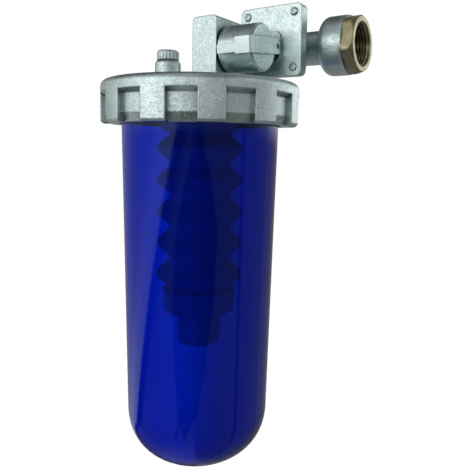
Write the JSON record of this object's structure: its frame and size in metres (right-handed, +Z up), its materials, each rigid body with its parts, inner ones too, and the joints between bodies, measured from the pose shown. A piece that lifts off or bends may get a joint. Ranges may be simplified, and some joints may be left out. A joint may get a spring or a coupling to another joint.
{
  "type": "cartridge filter housing",
  "caption": "In-line water filter housing: cast head with rear threaded pipe fitting, selector knob, vent screw, ring nut and a clear blue bowl around a corrugated cartridge.",
  "frame": {"origin": "on the outlet port's axis, at the start of its thread", "axes": "+Z up along the bowl axis, +X out of the outlet port, +Y from the bowl towards the pipe"},
  "size_m": [0.1573, 0.1775, 0.3328],
  "materials": {
    "cast_alloy": "fine sand-cast, matt",
    "satin_alloy": "satin",
    "brass": "machined, dull",
    "steel": "plated",
    "rubber": "matt",
    "blue_bowl": "clear, glossy, cobalt blue",
    "moulded_white": "moulded",
    "filter_mesh": "woven mesh, matt"
  },
  "bodies": {
    "housing": {"head_body": "cast_alloy", "outlet_spigot": "moulded_white", "spindle_gland": "brass", "flange_screws": "steel", "flange_gasket": "rubber", "pipe_fitting": "cast_alloy", "cup_outlet": "cast_alloy", "cup_inlet": "cast_alloy", "insert_outlet": "brass", "insert_inlet": "brass", "insert_seals": "rubber"},
    "selector": {"selector_knob": "satin_alloy", "knob_marker": "steel", "valve_spindle": "brass", "spindle_seals": "rubber"},
    "vent_screw": {"vent_stem": "steel", "vent_seal": "rubber", "vent_knob": "cast_alloy"},
    "bowl_unit": {"bowl": "blue_bowl", "bowl_seal": "rubber"},
    "nut": {"ring_nut": "cast_alloy", "slip_ring": "moulded_white"},
    "cartridge": {"cartridge_cap": "moulded_white", "cartridge_seal": "rubber", "cartridge_core": "moulded_white", "cartridge_sleeve": "filter_mesh", "cartridge_base": "moulded_white"}
  },
  "joints": [
    {"name": "knob_turn", "type": "hinge", "parent": "housing", "child": "selector", "pos_m": [-0.0841, -0.0652, -0.0086], "axis": [1, 0, 0], "range_deg": [0, 90]},
    {"name": "vent_turn", "type": "hinge", "parent": "housing", "child": "vent_screw", "pos_m": [-0.0841, -0.1208, -0.0228], "axis": [0, 0, 1], "range_deg": [0, 1080]},
    {"name": "bowl_drop", "type": "slide", "parent": "housing", "child": "bowl_unit", "axis": [0, 0, -1], "range_m": [0, 0.24]},
    {"name": "nut_turn", "type": "hinge", "parent": "bowl_unit", "child": "nut", "pos_m": [-0.0841, -0.085, -0.0498], "axis": [0, 0, 1], "range_deg": [-720, 0]},
    {"name": "cartridge_pull", "type": "slide", "parent": "housing", "child": "cartridge", "axis": [0, 0, -1], "range_m": [0, 0.025]}
  ]
}
